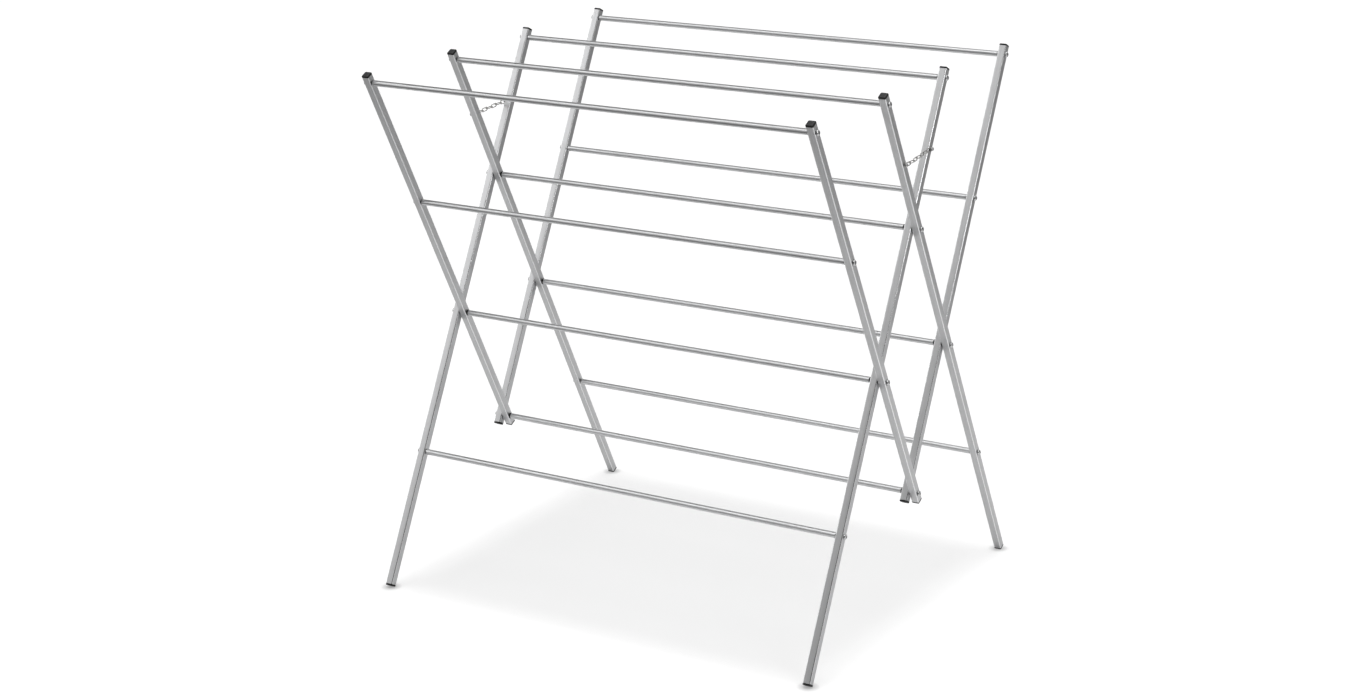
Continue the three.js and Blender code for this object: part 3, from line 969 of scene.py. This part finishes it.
def leg_holes(leg, settings):
    """The holes of a leg: through both walls for the rungs, through the outer one for a chain."""
    margin = 1 * MM
    low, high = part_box(leg)
    width = high.x - low.x
    start_x = low.x - margin
    holes = []
    for rung in RUNGS:
        if on_leg(rung, leg):
            holes.append((at_x(middle(rung), start_x), width + 2 * margin, settings.hole / 2))
    for screw in CHAIN_SCREWS:
        inside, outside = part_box(screw)
        if on_leg(screw, leg) and inside.x < high.x and outside.x > low.x:
            point = middle(screw)
            outer_start = middle(leg).x if point.x > 0 else start_x
            holes.append((at_x(point, outer_start), width / 2 + margin, settings.small_hole / 2))
    return holes


def seat_ends(rung, gap):
    """Where a rung's shaft starts and ends along X: on its washers at a pivot, or else on its legs."""
    if "_pivot_" in rung:
        left, right = f"{rung}_washer_left", f"{rung}_washer_right"
    else:
        ladder = rung.removesuffix("_rung").rpartition("_")[0]
        left, right = f"{ladder}_leg_left", f"{ladder}_leg_right"
    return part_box(left)[1].x + gap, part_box(right)[0].x - gap


def head_seat(node, on_right, head_height):
    """Where along X a screw's head seats, at the right or the left end of a node."""
    low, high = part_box(node)
    return high.x - head_height if on_right else low.x + head_height


def screw_turn(on_right, draw):
    """A screw's turn: its head points outwards, and its recess is turned at random."""
    return (draw.uniform(0, math.pi / 2), 0, 0 if on_right else math.pi)


def same_body(nodes):
    """The nodes grouped by the body that they ride on."""
    groups = {}
    for node in nodes:
        groups.setdefault(BODY_OF[node], []).append(node)
    return groups


# -------- operators


class RACK_OT_legs(bpy.types.Operator):
    """Makes the eight legs of square tube"""

    bl_idname = "rack.legs"
    bl_label = "Legs"

    def execute(self, context):
        settings = context.scene.rack_tube
        least_corner = 0.3 * MM
        outer = rounded_square(settings.size / 2, settings.corner)
        inner_corner = max(settings.corner - settings.wall, least_corner)
        inner = rounded_square(settings.size / 2 - settings.wall, inner_corner)
        girth = 4 * (settings.size - 2 * settings.corner) + 2 * math.pi * settings.corner
        finish = satin_tube(settings.colour, girth / 4)
        for leg in LEGS:
            across, up = leg_axes(leg)
            low, high = extent(leg, up)
            length = high - low
            levels = [(outer, 0), (outer, length), (inner, length), (inner, 0)]
            place = axes_place(leg, across, up, low)
            tube = loft(leg.replace("_leg_", "_tube_"), levels, place, closed=True)
            tube.data.materials.append(finish)
            shade(drill(tube, leg_holes(leg, settings)))
            fit(tube, leg, "tube", leg)
        return {"FINISHED"}


def cap_levels(settings, tube):
    """The rings of a cap from the roof of its hollow spigot to the top of its crown, with their marks."""
    half = tube.size / 2
    spigot = half - tube.wall - settings.fit
    hollow = spigot - settings.spigot_wall
    hollow_corner, spigot_corner = 0.3 * MM, 0.4 * MM
    lead = 0.8 * MM
    roof = -1 * MM
    top = settings.flange + settings.crown
    side_top = top - settings.dome - settings.shoulder
    shoulder_angle, shoulder_steps = 80, 4
    crown_shares = (0.86, 0.7, 0.5, 0.3, 0.12)

    # Each ring has half its width, the radius of its corners, its height and its mark for edge wear and painted
    # highlight.
    rings = [
        (hollow, hollow_corner, roof, 0),
        (hollow, hollow_corner, -settings.spigot, 0),
        (spigot - lead, spigot_corner, -settings.spigot, 0),
        (spigot, spigot_corner, lead - settings.spigot, 0),
        (spigot, spigot_corner, 0, 0),
        (half - settings.edge, tube.corner - settings.edge, 0, 0.4),
    ]
    for angle in (math.radians(45), math.radians(90)):
        inset = settings.edge * (1 - math.sin(angle))
        rings.append((half - inset, tube.corner - inset, settings.edge * (1 - math.cos(angle)), 0.5))
    rings.append((half, tube.corner, side_top * 0.8, 0.2))
    for step in range(shoulder_steps + 1):
        angle = math.radians(shoulder_angle * step / shoulder_steps)
        inset = settings.shoulder * (1 - math.cos(angle))
        rise = settings.shoulder * math.sin(angle)
        rings.append((half - inset, max(tube.corner - inset * 0.6, 0.5 * MM), side_top + rise, 1))
    crown_half, _, crown_start, _ = rings[-1]
    for share in crown_shares:
        rise = (top - crown_start) * (1 - share**3)
        rings.append((crown_half * share, tube.corner * 0.7 * share, crown_start + rise, 0))

    levels = [(rounded_square(size, corner, side_steps=4), height) for size, corner, height, _ in rings]
    marks = {
        "edge": [ring[-1] for ring in rings],
        "crown": [0] * (len(rings) - len(crown_shares)) + [1] * len(crown_shares),
    }
    return levels, marks


class RACK_OT_caps(bpy.types.Operator):
    """Makes the moulded cap in each end of each leg"""

    bl_idname = "rack.caps"
    bl_label = "End caps"

    def execute(self, context):
        settings = context.scene.rack_cap
        finish = moulded_black("Moulded cap", settings.colour, grain_size=0.22 * MM, gloss=0.42)
        levels, marks = cap_levels(settings, context.scene.rack_tube)
        height = settings.flange + settings.crown
        for cap in CAPS:
            across, up = leg_axes(cap)
            if not cap.endswith("_top_cap"):
                across, up = -across, -up
            place = axes_place(cap, across, up, extent(cap, up)[1] - height)
            piece = loft(f"{cap}_moulded", levels, place, marks=marks)
            piece.data.materials.append(finish)
            shade(piece, sharp_angle=50)
            fit(piece, cap, "end_cap", cap)
        return {"FINISHED"}


class RACK_OT_rungs(bpy.types.Operator):
    """Makes the twelve rungs"""

    bl_idname = "rack.rungs"
    bl_label = "Rungs"

    def execute(self, context):
        settings = context.scene.rack_rung
        finish = drawn_rung(settings.colour)
        tree = rod_tree()
        for rung in RUNGS:
            left, right = seat_ends(rung, settings.seat_gap)
            centre = at_x(middle(rung), (left + right) / 2)
            piece = grow(
                f"{rung}_rod", [centre], [UNTURNED], tree, finish,
                length=right - left, diameter=settings.size, end_round=settings.end_round,
            )
            fit(piece, rung, "rung", rung)
        return {"FINISHED"}


class RACK_OT_rung_screws(bpy.types.Operator):
    """Makes the pan head screws at the ends of the rungs, one mesh for each frame"""

    bl_idname = "rack.rung_screws"
    bl_label = "Rung screws"

    def execute(self, context):
        settings = context.scene.rack_rung
        bite = 2 * MM
        finish = plated_screw(settings.screw_colour)
        tree = screw_tree()
        draw = random.Random(11)
        for body, rungs in same_body(RUNGS).items():
            points, turns, reach = [], [], 0
            for rung in rungs:
                left, right = seat_ends(rung, settings.seat_gap)
                for on_right, end in ((True, right), (False, left)):
                    seat = head_seat(rung, on_right, settings.head_height)
                    points.append(at_x(middle(rung), seat))
                    turns.append(screw_turn(on_right, draw))
                    reach = max(reach, abs(seat - end))
            piece = grow(
                body.replace("_frame", "_rung_screws"), points, turns, tree, finish,
                head=settings.head, head_height=settings.head_height, rim=settings.rim,
                shank=settings.shank, shank_length=reach + bite,
            )
            fit(piece, body, "rung")
        return {"FINISHED"}


class RACK_OT_washers(bpy.types.Operator):
    """Makes the washers at the pivots, one mesh for each frame"""

    bl_idname = "rack.washers"
    bl_label = "Washers"

    def execute(self, context):
        settings = context.scene.rack_washer
        finish = moulded_black("Pivot washer", settings.colour, grain_size=0.18 * MM, gloss=0.5)
        tree = washer_tree()
        for body, washers in same_body(WASHERS).items():
            points = [middle(washer) for washer in washers]
            piece = grow(
                body.replace("_frame", "_washers"), points, [UNTURNED] * len(points), tree, finish,
                diameter=settings.size, hole=settings.hole,
                thickness=settings.depth, edge_round=settings.edge,
            )
            fit(piece, body, "washer", *washers)
        return {"FINISHED"}


def chain_line(side, settings):
    """The pitch of a chain, and the centre, heading and roll of each of its links, front to rear."""
    front = middle(f"{side}_chain_front_screw")
    rear = middle(f"{side}_chain_rear_screw")
    outward = 1 if front.x > 0 else -1
    under_head = settings.head_height + settings.play + settings.wire / 2
    for screw, point in (("front", front), ("rear", rear)):
        low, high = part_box(f"{side}_chain_{screw}_screw")
        point.x = high.x - under_head if outward > 0 else low.x + under_head
    back = settings.shank / 2 + settings.slack
    span = rear.y - front.y + 2 * back
    drift = rear.x - front.x
    sloped = settings.links - 2
    # The sloped links share one straight line between the two end links, which lie flat and level:
    # (sloped * pitch)^2 = drift^2 + (span - 2 * pitch)^2, solved for the pitch.
    a, b, c = sloped**2 - 4, 4 * span, -(drift**2 + span**2)
    pitch = (-b + math.sqrt(b * b - 4 * a * c)) / (2 * a)
    start = Vector((front.x, front.y - back + pitch, front.z))
    end = Vector((rear.x, rear.y + back - pitch, rear.z))
    step = (end - start) / sloped
    centres = [start - Vector((0, pitch / 2, 0))]
    centres += [start + step * (number + 0.5) for number in range(sloped)]
    centres += [end + Vector((0, pitch / 2, 0))]
    slope = math.atan2(step.y, step.x)
    headings = [math.pi / 2] + [slope] * sloped + [math.pi / 2]
    rolls = [math.pi / 2 if number % 2 == 0 else 0 for number in range(settings.links)]
    return pitch, list(zip(centres, headings, rolls))


class RACK_OT_chains(bpy.types.Operator):
    """Makes the links of the two stay chains, one mesh for each half"""

    bl_idname = "rack.chains"
    bl_label = "Chains"

    def execute(self, context):
        settings = context.scene.rack_chain
        finish = plated_chain(settings.colour)
        tree = link_tree()
        for half in CHAIN_HALVES:
            pitch, links = chain_line(half.partition("_chain_")[0], settings)
            low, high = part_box(half)
            mine = [link for link in links if low.y + pitch / 4 < link[0].y < high.y - pitch / 4]
            points = [link[0] for link in mine]
            turns = [(roll, 0, heading) for _, heading, roll in mine]
            piece = grow(
                half.replace("_half", "_links"), points, turns, tree, finish,
                length=pitch + 2 * settings.wire, width=settings.width,
                wire=settings.wire, swell=settings.swell,
            )
            fit(piece, half, "chain", half)
        return {"FINISHED"}


class RACK_OT_chain_screws(bpy.types.Operator):
    """Makes the small screws that hold the chains, one mesh for each frame"""

    bl_idname = "rack.chain_screws"
    bl_label = "Chain screws"

    def execute(self, context):
        settings = context.scene.rack_chain
        finish = plated_screw(context.scene.rack_rung.screw_colour)
        tree = screw_tree()
        draw = random.Random(5)
        for body, screws in same_body(CHAIN_SCREWS).items():
            points, turns = [], []
            for screw in screws:
                on_right = middle(screw).x > 0
                seat = head_seat(screw, on_right, settings.head_height)
                points.append(at_x(middle(screw), seat))
                turns.append(screw_turn(on_right, draw))
            low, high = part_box(screws[0])
            piece = grow(
                body.replace("_frame", "_chain_screws"), points, turns, tree, finish,
                head=CHAIN_SCREW_HEAD, head_height=settings.head_height, rim=settings.rim,
                recess=settings.recess, slot=settings.slot, recess_depth=settings.recess_depth,
                shank=settings.shank, shank_length=high.x - low.x - settings.head_height + SHANK_OVERLAP,
            )
            fit(piece, body, "chain", *screws)
        return {"FINISHED"}


def set_floor(settings):
    """A wide plain floor under the feet."""
    half = settings.floor / 2
    corners = [(-half, -half, 0), (half, -half, 0), (half, half, 0), (-half, half, 0)]
    mesh = bpy.data.meshes.new("Floor")
    mesh.from_pydata(corners, [], [(0, 1, 2, 3)])
    feet = [middle(cap) for cap in CAPS if cap.endswith("_foot_cap")]
    mesh.materials.append(pale_floor(settings.floor_colour, settings.floor_glow, feet, settings.floor_shade))
    new_piece("Floor", mesh)


def direction(azimuth, elevation):
    """A direction from its angles: the azimuth goes from the front towards the right."""
    azimuth, elevation = math.radians(azimuth), math.radians(elevation)
    level = math.cos(elevation)
    return Vector((math.sin(azimuth) * level, -math.cos(azimuth) * level, math.sin(elevation)))


def facing_place(place, back, roll=0):
    """Where a lamp or a camera stands, with its back to a direction and rolled about its line of sight."""
    turn = back.to_track_quat("Z", "Y").to_matrix().to_4x4()
    return Matrix.Translation(place) @ turn @ Matrix.Rotation(math.radians(roll), 4, "Z")


def set_sky(settings):
    """A soft studio sky: an even light with a few wide patches, and a white backdrop for the camera."""
    world = bpy.data.worlds.new("Studio sky")
    bpy.context.scene.world = world
    world.use_nodes = True
    world.node_tree.nodes.clear()
    build = Builder(world.node_tree)
    looking = build.coordinates("Generated")
    brightness = settings.sky
    for azimuth, elevation, radius, amount in SKY_PATCHES:
        facing = build.vector("DOT_PRODUCT", looking, direction(azimuth, elevation))
        patch = build.spread(facing, math.cos(math.radians(radius)), 1, 0, amount)
        brightness = build.math("ADD", brightness, patch)
    lit = build.math("MAXIMUM", brightness, 0)
    seen = build.between(build.from_camera(), lit, settings.backdrop)
    build.add("ShaderNodeOutputWorld", build.add("ShaderNodeBackground", WHITE, seen))


def set_side_light(settings):
    """A small soft box near the right side: it draws the bright line along the corners of the right legs."""
    light = bpy.data.lights.new("Side soft box", "AREA")
    light.shape = "DISK"
    light.size = settings.side_light_size
    light.energy = settings.side_light
    lamp = new_piece("Side soft box", light)
    lamp.visible_camera = False
    away = direction(SIDE_LIGHT_AZIMUTH, SIDE_LIGHT_ELEVATION)
    upper_right = Vector((CAD_BOX[1][0], 0, CAD_BOX[1][2]))
    lamp.matrix_world = facing_place(upper_right + away * SIDE_LIGHT_DISTANCE, away)


def set_camera(settings):
    """The camera, a little above the rack and well to its right."""
    lens = bpy.data.cameras.new("Camera")
    lens.lens = settings.lens
    lens.sensor_width = SENSOR_WIDTH
    lens.shift_y = LENS_SHIFT
    lens.clip_end = VIEW_DEPTH
    camera = new_piece("Camera", lens)
    back = direction(CAMERA_AZIMUTH, CAMERA_ELEVATION)
    camera.matrix_world = facing_place(CAMERA_PLACE, back, CAMERA_ROLL)
    bpy.context.scene.camera = camera


class RACK_OT_studio(bpy.types.Operator):
    """Sets the floor, the soft lights and the camera"""

    bl_idname = "rack.studio"
    bl_label = "Studio"

    def execute(self, context):
        settings = context.scene.rack_studio
        set_floor(settings)
        set_sky(settings)
        set_side_light(settings)
        set_camera(settings)
        context.scene.view_settings.view_transform = "Standard"
        return {"FINISHED"}


class RACK_PT_panel(bpy.types.Panel):
    """Lists the rack's parts with their sizes and colours"""

    bl_idname = "RACK_PT_panel"
    bl_label = "Drying rack"
    bl_space_type = "VIEW_3D"
    bl_region_type = "UI"
    bl_category = "Rack"

    def draw(self, context):
        layout = self.layout
        for group, (kind, *operators) in PARTS.items():
            for name in kind.__annotations__:
                layout.prop(getattr(context.scene, group), name)
            for operator in operators:
                layout.operator(operator.bl_idname)


PARTS = {
    "rack_tube": (RackTubeSettings, RACK_OT_legs),
    "rack_cap": (RackCapSettings, RACK_OT_caps),
    "rack_rung": (RackRungSettings, RACK_OT_rungs, RACK_OT_rung_screws),
    "rack_washer": (RackWasherSettings, RACK_OT_washers),
    "rack_chain": (RackChainSettings, RACK_OT_chains, RACK_OT_chain_screws),
    "rack_studio": (RackStudioSettings, RACK_OT_studio),
}
CLASSES = (*(each for classes in PARTS.values() for each in classes), RACK_PT_panel)


def register():
    for each in CLASSES:
        bpy.utils.register_class(each)
    for group, classes in PARTS.items():
        setattr(bpy.types.Scene, group, PointerProperty(type=classes[0]))


def unregister():
    for group in PARTS:
        delattr(bpy.types.Scene, group)
    for each in reversed(CLASSES):
        bpy.utils.unregister_class(each)


def main():
    register()
    bpy.ops.rack.legs()
    bpy.ops.rack.caps()
    bpy.ops.rack.rungs()
    bpy.ops.rack.rung_screws()
    bpy.ops.rack.washers()
    bpy.ops.rack.chains()
    bpy.ops.rack.chain_screws()
    bpy.ops.rack.studio()


if __name__ == "__main__":
    main()
